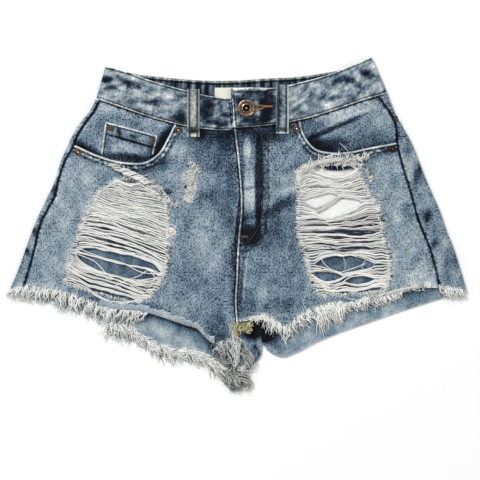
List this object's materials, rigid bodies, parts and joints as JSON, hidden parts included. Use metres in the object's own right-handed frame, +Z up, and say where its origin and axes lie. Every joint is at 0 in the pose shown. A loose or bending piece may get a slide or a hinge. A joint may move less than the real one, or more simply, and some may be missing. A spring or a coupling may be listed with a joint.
{
  "type": "pair of ripped denim shorts laid flat",
  "caption": "High-waisted cut-off denim shorts laid flat, with ripped fronts, frayed hems, belt loops, pockets and a buttoned waistband.",
  "frame": {"origin": "centre of the bounding box in plan, on the surface that the shorts lie on", "axes": "+X across the shorts towards the wearer's left side as worn, +Y up to the waist, +Z up from the surface through the layers, front side on top"},
  "size_m": [0.5372, 0.3964, 0.0139],
  "materials": {
    "denim": "light stone-washed twill with indigo speckle and worn white edges",
    "threads": "loose off-white weft threads",
    "cotton": "plain white cotton",
    "copper": "aged copper, slightly pitted"
  },
  "bodies": {
    "root": {"waistband": "denim", "yoke_left": "denim", "yoke_right": "denim", "back_left": "denim", "back_right": "denim", "back_pocket_left": "denim", "back_pocket_right": "denim", "belt_loop_back_left": "denim", "belt_loop_back_middle": "denim", "belt_loop_back_right": "denim", "belt_loop_front_left": "denim", "belt_loop_front_right": "denim", "front_left": "denim", "front_right": "denim", "pocket_facing_left": "denim", "pocket_facing_right": "denim", "coin_pocket": "denim", "fly_underlap": "denim", "hem_roll_left": "denim", "inseam_fold": "denim", "rip_threads_left": "threads", "rip_threads_right": "threads", "fringe_front_left": "threads", "fringe_front_right": "threads", "fringe_corner_right": "threads", "fringe_back_left": "threads", "fringe_inseam": "threads", "pocket_bag_left": "cotton", "pocket_bag_right": "cotton", "label": "cotton", "button": "copper", "rivet_left_side": "copper", "rivet_left_band": "copper", "rivet_right_band": "copper", "rivet_right_side": "copper"}
  },
  "joints": []
}
